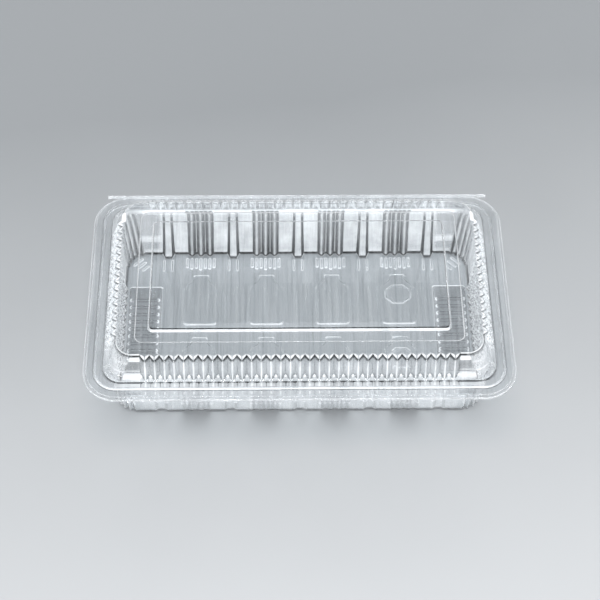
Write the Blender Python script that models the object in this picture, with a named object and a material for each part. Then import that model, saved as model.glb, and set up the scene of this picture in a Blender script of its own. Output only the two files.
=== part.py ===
"""Clear hinged food pack, shut: a shallow tray and a fluted lid, thermoformed from one clear sheet.

Metres, +Z up. The tray stands on z = 0, its middle is x = y = 0, the front is -Y and the
fold that joins lid and tray runs along the back, +Y. The lid turns about that fold.
"""

import math

import bmesh
import bpy
from mathutils import Vector
from mathutils.geometry import delaunay_2d_cdt

MM = 0.001

# ---------------------------------------------------------------- driving sizes, mm
SHEET = 0.5            # wall of the sheet
GAP = 0.3              # lid to tray, where they nest
CORNER_STEPS = 6       # facets in a rounded corner

# rim of the tray
RIM_X, RIM_Y, RIM_R = 100.0, 58.9, 16.0   # half width, half depth, corner radius
RIM_Z = 30.2           # upper face of the tray's rim
LIP_Z = 28.9           # lower edge of the turned-down lip
STEP = 1.0             # the rim's inner part stands this much higher

# tray
TRAY_TOP_X, TRAY_TOP_Y, TRAY_TOP_R = 88.4, 48.4, 9.0
TRAY_TOP_Z = 28.8
FLOOR_X, FLOOR_Y, FLOOR_R = 84.6, 46.8, 9.0
FLUTE_TOP, FLUTE_FOOT = 1.0, 1.7     # how far a tray flute stands in, at the top and the foot
COLUMN = 32.8                        # spacing of the flute groups and of the pilasters
GROUP_PITCH, GROUP_FLUTES = 4.4, 3
PILASTER_TOP, PILASTER_FOOT = 4.6, 6.0
PILASTER_IN_TOP, PILASTER_IN_FOOT = 0.9, 2.0
PILASTER_SIDE = 1.1                  # run of a pilaster's slanted cheek
SIDE_PITCH, SIDE_FLUTES = 4.27, 12
CORNER_FLUTES = 3

# floor relief
PAD_LENGTH, PAD_HALF, PAD_NECK = 29.0, 8.1, 3.6
PAD_FRONTS = (3.6, -34.2)            # y of each row's front edge
PAD_RISE = 0.8
RIB_RISE = 0.7
RIB_HALF = 1.15
SIDE_RIB = (68.9, 81.9)              # x reach of the cross ribs at the two ends
GROUP_RIB = (34.8, 44.2)             # y reach of the ribs at a group's foot

# fold along the back
FOLD_Y, FOLD_Z, FOLD_R = 59.1, 30.35, 0.8
FOLD_HALF = 94.0

# lid
LID_RIM_IN = 1.2                     # the lid's rim is this much smaller all round
LID_RIM_Z = 31.0
LID_STEP_X, LID_STEP_Y, LID_STEP_R = 95.3, 54.2, 11.3
LEDGE_X, LEDGE_Y, LEDGE_R = 91.0, 51.0, 9.0
LEDGE_RISE = 0.5
LID_FOOT_X, LID_FOOT_Y, LID_FOOT_R = 88.3, 48.4, 7.5
LID_TOP_X, LID_TOP_Y, LID_TOP_R = 84.0, 44.2, 8.0
LID_TOP_Z = 45.4
LID_FLUTE_FOOT, LID_FLUTE_TOP = 2.1, 2.4
LID_PITCH_X, LID_FLUTES_X = 4.4, 33
LID_PITCH_Y, LID_FLUTES_Y = 4.2, 16
CREASE_X, CREASE_Y, CREASE_R, CREASE_SINK = 75.6, 37.5, 3.5, 0.3
PANEL_X, PANEL_Y, PANEL_R, PANEL_RISE, PANEL_RUN = 69.8, 32.2, 2.6, 1.9, 1.1


# ---------------------------------------------------------------- outlines, mm
def corner(cx, cy, r, start, steps=CORNER_STEPS):
    """Points of a quarter circle, from the angle start, counter-clockwise."""
    return [
        (cx + r * math.cos(math.radians(start + 90 * i / steps)),
         cy + r * math.sin(math.radians(start + 90 * i / steps)))
        for i in range(steps + 1)
    ]


def outline(hx, hy, r, sides=None, ribs=0.0):
    """A rounded rectangle, counter-clockwise from the right side.

    sides(k) gives the points of side k as (place along it, how far it stands out);
    k = 0 right, 1 back, 2 left, 3 front. ribs > 0 folds that many millimetres into
    the corners, as short flutes.
    """
    points = []
    for k in range(4):
        run = [] if sides is None else sides(k)
        c, s = round(math.cos(math.pi / 2 * k)), round(math.sin(math.pi / 2 * k))
        half = hx if k % 2 == 0 else hy
        for place, out in run:
            a, b = half + out, place
            points.append((a * c - b * s, a * s + b * c))
        sx = (1, -1, -1, 1)[k]
        sy = (1, 1, -1, -1)[k]
        arc = corner(sx * (hx - r), sy * (hy - r), r, 90 * k)
        if ribs:
            centre = Vector((sx * (hx - r), sy * (hy - r)))
            arc = [
                tuple(centre + (Vector(p) - centre) * (1 - (ribs / r if i % 2 else 0)))
                for i, p in enumerate(arc)
            ]
        points += arc
    return points


def zigzag(count, pitch, out, middle=0.0):
    """A run of V flutes, each from the plain wall to its crest and back."""
    start = middle - count * pitch / 2
    points = [(start, 0.0)]
    for i in range(count):
        points += [(start + (i + 0.5) * pitch, out), (start + (i + 1) * pitch, 0.0)]
    return points


def lid_sides(out):
    def side(k):
        if k % 2:
            return zigzag(LID_FLUTES_X, LID_PITCH_X, out)
        return zigzag(LID_FLUTES_Y, LID_PITCH_Y, out)
    return side


def tray_sides(out, pilaster, pilaster_in):
    """Front and back: five pilasters with four groups of flutes between. Ends: one long group."""
    def side(k):
        if k % 2 == 0:
            return zigzag(SIDE_FLUTES, SIDE_PITCH, -out)
        run = []
        for i in range(-2, 3):
            at = i * COLUMN
            half = pilaster / 2
            run += [(at - half, 0.0), (at - half + PILASTER_SIDE, -pilaster_in),
                    (at + half - PILASTER_SIDE, -pilaster_in), (at + half, 0.0)]
            if i < 2:
                run += zigzag(GROUP_FLUTES, GROUP_PITCH, -out, at + COLUMN / 2)
        return run
    return side


def grown(points, by):
    """The outline moved out by a constant wall, its corners mitred."""
    result = []
    n = len(points)
    for i in range(n):
        a, b, c = (Vector(points[(i + d) % n]) for d in (-1, 0, 1))
        n1 = Vector(((b - a).y, -(b - a).x)).normalized()
        n2 = Vector(((c - b).y, -(c - b).x)).normalized()
        shift = (n1 + n2) * (by / (1 + n1.dot(n2)))
        result.append(tuple(b + shift))
    return result


def inside(point, loop):
    """Whether the point lies within the closed outline."""
    x, y = point
    odd = False
    for (x1, y1), (x2, y2) in zip(loop, loop[1:] + loop[:1]):
        if (y1 > y) != (y2 > y) and x < x1 + (x2 - x1) * (y - y1) / (y2 - y1):
            odd = not odd
    return odd


# ---------------------------------------------------------------- mesh building
class Shell:
    """Collects rings of points at given heights and the faces between them."""

    def __init__(self):
        self.points = []
        self.faces = []

    def ring(self, points, z):
        first = len(self.points)
        self.points += [(x, y, z) for x, y in points]
        return list(range(first, first + len(points)))

    def band(self, a, b):
        n = len(a)
        for i in range(n):
            j = (i + 1) % n
            self.faces.append((a[i], a[j], b[j], b[i]))

    def fill(self, *rings):
        """Triangles between nested rings, seen from above; the first one is the outer."""
        index, flat, edges = [], [], []
        for ring in rings:
            first = len(index)
            index += ring
            flat += [Vector(self.points[i][:2]) for i in ring]
            edges += [(first + i, first + (i + 1) % len(ring)) for i in range(len(ring))]
        where, _, faces, origin, _, _ = delaunay_2d_cdt(flat, edges, [], 1, 1e-7)
        loops = [[self.points[i][:2] for i in ring] for ring in rings]
        for face in faces:
            middle = sum((where[v] for v in face), Vector((0.0, 0.0))) / 3
            if inside(middle, loops[0]) and not any(inside(middle, hole) for hole in loops[1:]):
                self.faces.append(tuple(index[origin[v][0]] for v in face))

    def roof(self, foot, crest):
        """A rib: its four-cornered foot, and the two ends of its crest."""
        a, b, c, d = foot
        e, f = crest
        self.faces += [(a, b, f, e), (b, c, f), (c, d, e, f), (d, a, e)]

    def mesh(self, name):
        mesh = bpy.data.meshes.new(name)
        mesh.from_pydata([tuple(MM * v for v in p) for p in self.points], [], self.faces)
        work = bmesh.new()
        work.from_mesh(mesh)
        bmesh.ops.triangulate(work, faces=work.faces)
        bmesh.ops.recalc_face_normals(work, faces=work.faces)
        work.to_mesh(mesh)
        work.free()
        mesh.update()
        return mesh


def plastic(name, colour):
    """Glossy clear sheet."""
    material = bpy.data.materials.new(name)
    material.use_nodes = True
    shader = material.node_tree.nodes["Principled BSDF"]
    shader.inputs["Base Color"].default_value = (*colour, 1.0)
    shader.inputs["Roughness"].default_value = 0.06
    shader.inputs["Metallic"].default_value = 0.0
    shader.inputs["IOR"].default_value = 1.55
    shader.inputs["Transmission Weight"].default_value = 0.9
    return material


def placed(name, mesh, material, parent=None, pivot=(0.0, 0.0, 0.0)):
    """The mesh's points are moved so that the object's origin can sit at its pivot."""
    for vertex in mesh.vertices:
        vertex.co -= Vector(pivot)
    mesh.materials.append(material)
    thing = bpy.data.objects.new(name, mesh)
    bpy.context.collection.objects.link(thing)
    if parent is None:
        thing.location = pivot
    else:
        thing.parent = parent
    return thing


# ---------------------------------------------------------------- tray
def pad_outline(shrink):
    """A floor pad: wide at the front with small bevelled corners, shouldered to a neck at the back."""
    half, neck, length = PAD_HALF - shrink, PAD_NECK - shrink, PAD_LENGTH - shrink
    right = [(half - 1.3, shrink), (half, shrink + 1.4), (half, 18.5), (half - 1.4, 22.5),
             (neck + 0.6, 25.5), (neck, length)]
    return right + [(-x, y) for x, y in reversed(right)]


def tray_mesh():
    shell = Shell()
    rim = outline(RIM_X, RIM_Y, RIM_R)
    inset = 5.6
    riser = 0.4
    inner = (90.4, 50.2, 9.0)

    # upper face, from the lip inwards
    up = [
        shell.ring(rim, LIP_Z),
        shell.ring(rim, RIM_Z),
        shell.ring(outline(RIM_X - inset, RIM_Y - inset, RIM_R - inset), RIM_Z),
        shell.ring(outline(RIM_X - inset - riser, RIM_Y - inset - riser, RIM_R - inset - riser), RIM_Z + STEP),
        shell.ring(outline(*inner), RIM_Z + STEP),
        shell.ring(outline(inner[0] - 1.4, inner[1] - 1.2, inner[2]), RIM_Z + 0.3),
    ]
    for a, b in zip(up, up[1:]):
        shell.band(a, b)
    top = outline(TRAY_TOP_X, TRAY_TOP_Y, TRAY_TOP_R,
                  tray_sides(FLUTE_TOP, PILASTER_TOP, PILASTER_IN_TOP), ribs=0.5)
    foot = outline(FLOOR_X, FLOOR_Y, FLOOR_R,
                   tray_sides(FLUTE_FOOT, PILASTER_FOOT, PILASTER_IN_FOOT), ribs=0.9)
    wall_top = shell.ring(top, TRAY_TOP_Z)
    wall_foot = shell.ring(foot, SHEET)
    shell.fill(up[-1], wall_top)
    shell.band(wall_top, wall_foot)

    # floor with its pads and ribs
    holes = []
    for y in PAD_FRONTS:
        for i in range(4):
            x = (i - 1.5) * COLUMN
            low = shell.ring([(x + u, y + v) for u, v in pad_outline(0.0)], SHEET)
            high = shell.ring([(x + u, y + v) for u, v in pad_outline(0.4)], SHEET + PAD_RISE)
            shell.band(low, high)
            shell.fill(high)
            holes.append(low)
    for sx in (-1, 1):
        for i in range(SIDE_FLUTES):
            y = (i + 0.5 - SIDE_FLUTES / 2) * SIDE_PITCH
            a, b = sorted((sx * SIDE_RIB[0], sx * SIDE_RIB[1]))
            low = shell.ring([(a, y - RIB_HALF), (b, y - RIB_HALF), (b, y + RIB_HALF), (a, y + RIB_HALF)], SHEET)
            crest = shell.ring([(a + 0.8, y), (b - 0.8, y)], SHEET + RIB_RISE)
            shell.roof(low, crest)
            holes.append(low)
    for sy in (-1, 1):
        for i in range(4):
            for j in (-1, 0, 1):
                x = (i - 1.5) * COLUMN + j * GROUP_PITCH
                a, b = sorted((sy * (GROUP_RIB[0] + (1.2 if j else 0.0)), sy * GROUP_RIB[1]))
                low = shell.ring([(x + RIB_HALF, a), (x + RIB_HALF, b), (x - RIB_HALF, b), (x - RIB_HALF, a)], SHEET)
                crest = shell.ring([(x, a + 0.8), (x, b - 0.8)], SHEET + RIB_RISE)
                shell.roof(low, crest)
                holes.append(low)
    shell.fill(wall_foot, *holes)

    # lower face, from the lip inwards
    t = SHEET
    down = [
        shell.ring(outline(RIM_X - t, RIM_Y - t, RIM_R - t), LIP_Z),
        shell.ring(outline(RIM_X - t, RIM_Y - t, RIM_R - t), RIM_Z - t),
        shell.ring(outline(RIM_X - inset - t, RIM_Y - inset - t, RIM_R - inset - t), RIM_Z - t),
        shell.ring(outline(RIM_X - inset - riser - t, RIM_Y - inset - riser - t, RIM_R - inset - riser - t),
                   RIM_Z + STEP - t),
        shell.ring(outline(inner[0] + 0.3, inner[1] + 0.3, inner[2] + 0.3), RIM_Z + STEP - t),
        shell.ring(outline(inner[0] - 0.9, inner[1] - 0.7, inner[2] + 0.4), RIM_Z - 0.1),
    ]
    for a, b in zip(down, down[1:]):
        shell.band(a, b)
    out_top = shell.ring(grown(top, t), TRAY_TOP_Z - 0.2)
    out_foot = shell.ring(grown(foot, t), 0.0)
    shell.fill(down[-1], out_top)
    shell.band(out_top, out_foot)
    under = []
    for y in PAD_FRONTS:
        for i in range(4):
            x = (i - 1.5) * COLUMN
            low = shell.ring([(x + u, y + v) for u, v in pad_outline(0.4)], 0.0)
            high = shell.ring([(x + u, y + v) for u, v in pad_outline(0.8)], PAD_RISE)
            shell.band(low, high)
            shell.fill(high)
            under.append(low)
    shell.fill(out_foot, *under)

    shell.band(up[0], down[0])
    return shell.mesh("tray")


def fold_bead():
    """The rounded fold of the sheet along the back edge."""
    shell = Shell()
    sides = 10
    ends = []
    for x in (-FOLD_HALF, FOLD_HALF):
        first = len(shell.points)
        for i in range(sides):
            a = 2 * math.pi * (i + 0.5) / sides
            shell.points.append((x, FOLD_Y + FOLD_R * math.cos(a), FOLD_Z + FOLD_R * math.sin(a)))
        ends.append(list(range(first, first + sides)))
    shell.band(*ends)
    shell.faces += [tuple(ends[0]), tuple(reversed(ends[1]))]
    return shell.mesh("fold")


# ---------------------------------------------------------------- lid
def lid_mesh():
    shell = Shell()
    t = SHEET
    foot = outline(LID_FOOT_X, LID_FOOT_Y, LID_FOOT_R, lid_sides(LID_FLUTE_FOOT))
    top = outline(LID_TOP_X, LID_TOP_Y, LID_TOP_R, lid_sides(LID_FLUTE_TOP))
    ledge = LID_RIM_Z + STEP
    rim = (RIM_X - LID_RIM_IN, RIM_Y - LID_RIM_IN, RIM_R - LID_RIM_IN)

    def shrunk(x, y, r, by):
        return outline(x - by, y - by, r - by)

    # outer face, from the rim to the crown
    up = [
        shell.ring(outline(*rim), LID_RIM_Z - t),
        shell.ring(outline(*rim), LID_RIM_Z),
        shell.ring(shrunk(LID_STEP_X, LID_STEP_Y, LID_STEP_R, 0.0), LID_RIM_Z),
        shell.ring(shrunk(LID_STEP_X, LID_STEP_Y, LID_STEP_R, 0.4), ledge),
        shell.ring(shrunk(LEDGE_X, LEDGE_Y, LEDGE_R, 0.0), ledge),
        shell.ring(shrunk(LEDGE_X, LEDGE_Y, LEDGE_R, 0.25), ledge + LEDGE_RISE),
    ]
    for a, b in zip(up, up[1:]):
        shell.band(a, b)
    wall_foot = shell.ring(foot, ledge + LEDGE_RISE)
    wall_top = shell.ring(top, LID_TOP_Z)
    shell.fill(up[-1], wall_foot)
    shell.band(wall_foot, wall_top)
    crown = [
        shell.ring(shrunk(CREASE_X, CREASE_Y, CREASE_R, 0.0), LID_TOP_Z),
        shell.ring(shrunk(CREASE_X, CREASE_Y, CREASE_R, 0.3), LID_TOP_Z - CREASE_SINK),
        shell.ring(shrunk(PANEL_X, PANEL_Y, PANEL_R, 0.0), LID_TOP_Z - CREASE_SINK),
        shell.ring(shrunk(PANEL_X, PANEL_Y, PANEL_R, PANEL_RUN), LID_TOP_Z - CREASE_SINK + PANEL_RISE),
    ]
    shell.fill(wall_top, crown[0])
    for a, b in zip(crown, crown[1:]):
        shell.band(a, b)
    shell.fill(crown[-1])

    # inner face, from the rim to the crown
    down = [
        up[0],
        shell.ring(shrunk(LID_STEP_X, LID_STEP_Y, LID_STEP_R, t), LID_RIM_Z - t),
        shell.ring(shrunk(LID_STEP_X, LID_STEP_Y, LID_STEP_R, 0.4 + t), ledge - t),
        shell.ring(shrunk(LEDGE_X, LEDGE_Y, LEDGE_R, 0.4), ledge - t),
        shell.ring(shrunk(LEDGE_X, LEDGE_Y, LEDGE_R, 0.6), ledge + LEDGE_RISE - t),
    ]
    for a, b in zip(down, down[1:]):
        shell.band(a, b)
    in_foot = shell.ring(grown(foot, -t), ledge + LEDGE_RISE - t)
    in_top = shell.ring(grown(top, -t), LID_TOP_Z - t)
    shell.fill(down[-1], in_foot)
    shell.band(in_foot, in_top)
    under = [
        shell.ring(shrunk(CREASE_X, CREASE_Y, CREASE_R, 0.1), LID_TOP_Z - t),
        shell.ring(shrunk(CREASE_X, CREASE_Y, CREASE_R, 0.4), LID_TOP_Z - CREASE_SINK - t),
        shell.ring(shrunk(PANEL_X, PANEL_Y, PANEL_R, 0.4), LID_TOP_Z - CREASE_SINK - t),
        shell.ring(shrunk(PANEL_X, PANEL_Y, PANEL_R, PANEL_RUN + 0.3),
                   LID_TOP_Z - CREASE_SINK + PANEL_RISE - t),
    ]
    shell.fill(in_top, under[0])
    for a, b in zip(under, under[1:]):
        shell.band(a, b)
    shell.fill(under[-1])
    return shell.mesh("lid")


# ---------------------------------------------------------------- the pack
def clear_scene():
    for thing in list(bpy.data.objects):
        bpy.data.objects.remove(thing, do_unlink=True)


def build():
    clear_scene()
    tray = placed("tray", tray_mesh(), plastic("clear_tray", (0.93, 0.95, 0.96)))
    bead = placed("fold_guide", fold_bead(), plastic("clear_fold", (0.93, 0.95, 0.96)))
    bead.hide_render = True
    bead.display_type = "WIRE"
    join = tray.modifiers.new("fold", "BOOLEAN")
    join.operation = "UNION"
    join.solver = "EXACT"
    join.object = bead

    pivot = (0.0, FOLD_Y * MM, FOLD_Z * MM)
    hinge = bpy.data.objects.new("lid_hinge", None)
    hinge.empty_display_size = 0.02
    hinge.location = pivot
    bpy.context.collection.objects.link(hinge)
    placed("lid", lid_mesh(), plastic("clear_lid", (0.94, 0.96, 0.97)), hinge, pivot)


build()
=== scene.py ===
"""Looks of the clear hinged food pack, shut and empty, on a pale grey ground.

Metres, +Z up, the front is -Y. Lengths in the tables below are millimetres.
Each shell is one closed skin: rings of points from its rim inwards, the flat
areas filled between them, and the same skin again on the other side of the sheet.
"""

import math

import bpy
import numpy as np
from mathutils import Matrix, Vector
from mathutils.geometry import delaunay_2d_cdt


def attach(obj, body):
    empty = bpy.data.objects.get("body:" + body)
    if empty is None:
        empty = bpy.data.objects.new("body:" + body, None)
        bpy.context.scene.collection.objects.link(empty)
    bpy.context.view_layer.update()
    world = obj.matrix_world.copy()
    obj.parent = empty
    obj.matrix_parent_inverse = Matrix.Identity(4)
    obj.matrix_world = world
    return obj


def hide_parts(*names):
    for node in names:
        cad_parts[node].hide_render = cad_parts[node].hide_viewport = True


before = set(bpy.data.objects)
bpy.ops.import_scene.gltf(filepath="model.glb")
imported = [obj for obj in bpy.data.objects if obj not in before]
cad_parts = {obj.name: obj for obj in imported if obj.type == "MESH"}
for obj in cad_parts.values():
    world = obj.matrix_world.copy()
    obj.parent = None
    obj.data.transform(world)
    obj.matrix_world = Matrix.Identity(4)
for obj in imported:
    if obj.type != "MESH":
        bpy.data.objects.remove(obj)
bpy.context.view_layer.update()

MM = 0.001
SKIN = 0.35                 # sheet thickness
COLUMN = 32.8               # spacing of flute groups, pilasters and floor pads
FLOOR_Z = SKIN
ENDS = (-2, -1, 0, 1, 2)


# ---------------------------------------------------------------- columns round a shell
class Columns:
    """The places round a shell's perimeter, counter-clockwise from the right side.

    flute, pilaster and corner say how much of each relief a column takes, 0 to 1.
    """

    def __init__(self):
        self.rows = []

    def side(self, k, places):
        for place, spread, flute, pilaster in places:
            self.rows.append((0, k, place, spread, flute, pilaster, 0.0))

    def turn(self, k, steps, ribs=0):
        for i in range(steps + 1):
            f = i / steps
            w = 0.0
            if ribs and 0 < i < steps:
                w = crest(abs(((f * ribs) % 1.0) - 0.5) * 2)
            self.rows.append((1, k, f, 0.0, 0.0, 0.0, w))

    def done(self):
        a = np.array(self.rows, float)
        (self.kind, self.k, self.place, self.spread,
         self.flute, self.pilaster, self.corner) = a.T
        q = np.round(self.k).astype(int)
        self.c = np.array([1, 0, -1, 0])[q]
        self.s = np.array([0, 1, 0, -1])[q]
        self.sides, self.long = q, (q % 2 == 1)
        self.sx = np.array([1, -1, -1, 1])[q]
        self.sy = np.array([1, 1, -1, -1])[q]
        self.count = len(a)
        return self

    def ring(self, hx, hy, r, z, flute=0.0, dz=0.0, pilaster=0.0, half=2.3, corner=0.0, rib=0.0,
             short=None, rib_short=0.6, squeeze=1.0, front=1.0):
        """Points of one ring. flute is the crest's distance outwards, dz its rise, front
        the front wall's share of the relief, and squeeze draws the long walls' flutes
        together."""
        short = flute if short is None else short
        amount = np.where(self.long, flute, short)
        out = (self.flute * amount + self.pilaster * pilaster) * np.where(self.sides == 3, front, 1.0)
        along = self.place * np.where(self.long, squeeze, 1.0) + self.spread * half
        reach = np.where(self.long, hy, hx) + out
        x = reach * self.c - along * self.s
        y = reach * self.s + along * self.c
        angle = np.radians(90 * (self.k + self.place))
        rr = r + self.corner * corner
        xc = self.sx * (hx - r) + rr * np.cos(angle)
        yc = self.sy * (hy - r) + rr * np.sin(angle)
        turn = self.kind > 0.5
        flat = np.clip(1.7 * self.flute - 0.35, 0, 1)
        height = z + self.flute * dz + flat * rib * np.array([rib_short, 0.4, rib_short, 1.0])[self.sides]
        return np.stack([np.where(turn, xc, x), np.where(turn, yc, y),
                         np.where(turn, z, height)], axis=1)


    def tone(self, plain=0.0, face=None, top=None, cheek=None, pilaster=None, turn=None, fold=None,
             outer=None, panel=70, reach=0.0, spot=0.0, sides=(1, 1, 1, 1), least=(0, 0, 0, 0),
             peak=(0.9, 1.0)):
        """One value for each column: on the plain wall, a flute's faces and crest, a pilaster's cheeks and flat, the
        corners and their ribs' faces, and the long walls' end panels, which start at panel. reach is how far up a
        flute's faces the plain value goes, peak where the crest's begins, spot is a painted highlight added where the
        back corners meet the short sides, sides scales it all on the right, back, left and front, and least is the
        lowest value there."""
        face = plain if face is None else face
        top = face if top is None else top
        cheek = plain if cheek is None else cheek
        pilaster = plain if pilaster is None else pilaster
        turn = plain if turn is None else turn
        value = np.interp(self.flute, [0, reach, reach + 0.12, *peak], [plain, plain, face, face, top])
        value = np.where(self.pilaster > 0,
                         np.interp(self.pilaster, [0, 0.03, 0.9, 1], [plain, cheek, cheek, pilaster]), value)
        fold = turn if fold is None else fold
        value = np.where(self.kind > 0.5, turn + (fold - turn) * self.corner, value)
        k = np.round(self.k).astype(int)
        if outer is not None:
            joint = (self.kind > 0.5) & (self.place == np.where(self.long, 0.0, 1.0))
            value = np.where((self.kind < 0.5) & self.long & (np.abs(self.place) > panel) | joint, outer, value)
        if spot:
            turned = self.kind > 0.5
            value = value + spot * np.where(
                turned, (self.k == 0) * (self.place < 0.12) + (self.k == 1) * (self.place > 0.88),
                (self.k == 0) * (self.place > 32) + (self.k == 2) * (self.place < -32))
        scale, low = np.array(sides, float), np.array(least, float)
        after = np.where(self.kind > 0.5, (k + 1) % 4, k)
        mix = np.where(self.kind > 0.5, self.place, 0.0)
        floor = (low[k] * (1 - mix) + low[after] * mix) * np.where(self.kind > 0.5, 0.3, 1.0)
        return np.maximum(value * (scale[k] * (1 - mix) + scale[after] * mix), floor)


def crest(u, soft=0.14):
    """A V flute with a slightly rounded crest: 1 at u = 0, 0 at u = 1."""
    top = math.sqrt(1 + soft * soft)
    return (top - math.sqrt(u * u + soft * soft)) / (top - soft)


def flutes(count, pitch, middle=0.0, steps=(1.0, 0.88, 0.6, 0.3, 0.12, 0.0)):
    """Columns of a run of V flutes."""
    half = list(steps) + [-u for u in reversed(steps[1:-1])]
    places = []
    for i in range(count):
        at = middle + (i + 0.5 - count / 2) * pitch
        places += [(at - u * pitch / 2, 0.0, crest(abs(u)), 0.0) for u in half]
    places.append((middle + count * pitch / 2, 0.0, 0.0, 0.0))
    return places


def pilaster_places(at):
    """Columns of a flat-topped rib whose width changes with height."""
    shape = [(-1.12, 0), (-1.0, 0.03), (-0.9, 0.25), (-0.66, 0.86), (-0.54, 0.98), (-0.42, 1), (0, 1)]
    shape += [(-u, w) for u, w in reversed(shape[:-1])]
    return [(at, u, 0.0, w) for u, w in shape]


# ---------------------------------------------------------------- skins
class Skin:
    """Rings and faces, with four looks a point: frost, how milky the sheet is there, partly a real haze and partly
    painted highlights set where the lamps' glints fall, more on some sides than others; shade, painted shade, how much
    it darkens what is seen through it in folds, creases, flutes and at the foot; block, how much it dims the light
    that passes; crush, whitish flecks painted in for glints."""

    SHEET_LOOKS = ("frost", "shade", "block", "painted_glints")

    def __init__(self):
        self.parts, self.size = [], 0
        self.faces = []
        self.sheet_looks = {key: [] for key in self.SHEET_LOOKS}

    def ring(self, points, frost=0.0, shade=0.0, block=0.0, painted_glints=0.0):
        points = np.asarray(points, float)
        self.parts.append(points)
        for key, value in zip(self.SHEET_LOOKS, (frost, shade, block, painted_glints)):
            self.sheet_looks[key].append(np.broadcast_to(value, len(points)))
        first = self.size
        self.size += len(points)
        return list(range(first, self.size))

    def all(self):
        return np.concatenate(self.parts)

    def band(self, a, b):
        n = len(a)
        for i in range(n):
            j = (i + 1) % n
            self.faces.append((a[i], a[j], b[j], b[i]))

    def fill(self, *rings):
        """Triangles between nested rings, seen from above; the first is the outer one."""
        where = self.all()
        index = [i for ring in rings for i in ring]
        flat = [Vector(where[i][:2]) for i in index]
        edges, first = [], 0
        for ring in rings:
            edges += [(first + i, first + (i + 1) % len(ring)) for i in range(len(ring))]
            first += len(ring)
        spots, _, faces, origin, _, _ = delaunay_2d_cdt(flat, edges, [], 1, 1e-6)
        spots = np.array([tuple(v) for v in spots])
        faces = np.array([tuple(f) for f in faces if len(f) == 3])
        middle = spots[faces].mean(1)
        keep = within(middle, where[rings[0]][:, :2])
        for ring in rings[1:]:
            loop = where[ring][:, :2]
            near = ((middle > loop.min(0)) & (middle < loop.max(0))).all(1) & keep
            if near.any():
                spot = np.flatnonzero(near)
                keep[spot[within(middle[spot], loop)]] = False
        for face in faces[keep]:
            a, b, c = (index[origin[v][0]] for v in face)
            p, q, r = where[a], where[b], where[c]
            turn = (q[0] - p[0]) * (r[1] - p[1]) - (q[1] - p[1]) * (r[0] - p[0])
            if abs(turn) > 1e-9:
                self.faces.append((a, b, c) if turn > 0 else (a, c, b))

    def solid(self, name, edge, skin=SKIN):
        """The sheet: this skin, the same one a sheet's thickness behind it, and the cut edge."""
        points = self.all()
        n = len(points)
        quads = np.array([f for f in self.faces if len(f) == 4], int).reshape(-1, 4)
        tris = np.array([f for f in self.faces if len(f) == 3], int).reshape(-1, 3)
        front = vertex_normals(points, quads, tris)
        back = points - skin * front
        behind = -vertex_normals(back, quads, tris)
        lip = [(edge[(i + 1) % len(edge)], edge[i], edge[i] + n, edge[(i + 1) % len(edge)] + n)
               for i in range(len(edge))]
        faces = ([tuple(f) for f in quads] + [tuple(f) for f in tris]
                 + [tuple(f + n) for f in quads[:, ::-1]] + [tuple(f + n) for f in tris[:, ::-1]] + lip)
        both = np.concatenate([points, back]) * MM
        mesh = bpy.data.meshes.new(name)
        mesh.from_pydata(both.tolist(), [], faces)
        mesh.polygons.foreach_set("use_smooth", [True] * len(faces))
        normals = np.concatenate([front, behind])
        corners = np.array([v for f in faces for v in f])
        loops = normals[corners]
        at = len(corners) - 4 * len(lip)
        for f in lip:
            a, b, c, d = both[list(f)]
            out = np.cross(c - a, d - b)
            loops[at:at + 4] = out / (np.linalg.norm(out) + 1e-12)
            at += 4
        mesh.normals_split_custom_set(loops.tolist())
        for key, rows in self.sheet_looks.items():
            layer = mesh.attributes.new(key, "FLOAT", "POINT")
            values = np.concatenate(rows)
            layer.data.foreach_set("value", np.concatenate([values, values]).astype(np.float32))
        mesh.update()
        thing = bpy.data.objects.new(name, mesh)
        bpy.context.scene.collection.objects.link(thing)
        return thing


def vertex_normals(points, quads, tris):
    """Normals weighted by area, so that flat areas stay flat."""
    total = np.zeros_like(points)
    if len(quads):
        a, b, c, d = (points[quads[:, i]] for i in range(4))
        area = np.cross(c - a, d - b)
        for i in range(4):
            np.add.at(total, quads[:, i], area)
    if len(tris):
        a, b, c = (points[tris[:, i]] for i in range(3))
        area = np.cross(b - a, c - a)
        for i in range(3):
            np.add.at(total, tris[:, i], area)
    return total / np.maximum(np.linalg.norm(total, axis=1), 1e-12)[:, None]


def within(spots, loop):
    """Which of the spots lie inside the closed outline."""
    x, y = spots[:, 0], spots[:, 1]
    odd = np.zeros(len(spots), bool)
    ends = np.roll(loop, -1, axis=0)
    for (x1, y1), (x2, y2) in zip(loop, ends):
        if y1 == y2:
            continue
        crosses = ((y1 > y) != (y2 > y)) & (x < x1 + (x2 - x1) * (y - y1) / (y2 - y1))
        odd ^= crosses
    return odd


def rectangle(hx, hy, r, z, steps=6):
    points = []
    for k in range(4):
        sx, sy = (1, -1, -1, 1)[k], (1, 1, -1, -1)[k]
        for i in range(steps + 1):
            a = math.radians(90 * k + 90 * i / steps)
            points.append((sx * (hx - r) + r * math.cos(a), sy * (hy - r) + r * math.sin(a), z))
    return points


def stadium(x0, y0, x1, y1, r, z, steps=6):
    """A rib's outline: the line from (x0, y0) to (x1, y1), widened by r with round ends."""
    way = math.atan2(y1 - y0, x1 - x0)
    points = []
    for cx, cy, start, on in ((x1, y1, way - math.pi / 2, 1), (x0, y0, way + math.pi / 2, -1)):
        for i in range(steps + 1):
            a = start + math.pi * i / steps
            points.append((cx + r * math.cos(a), cy + r * math.sin(a), z))
            if i in (0, steps):
                inner = (points[-1][0] - on * 0.9 * math.cos(way), points[-1][1] - on * 0.9 * math.sin(way), z)
                points.insert(len(points) - (i == 0), inner)
    return points


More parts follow.
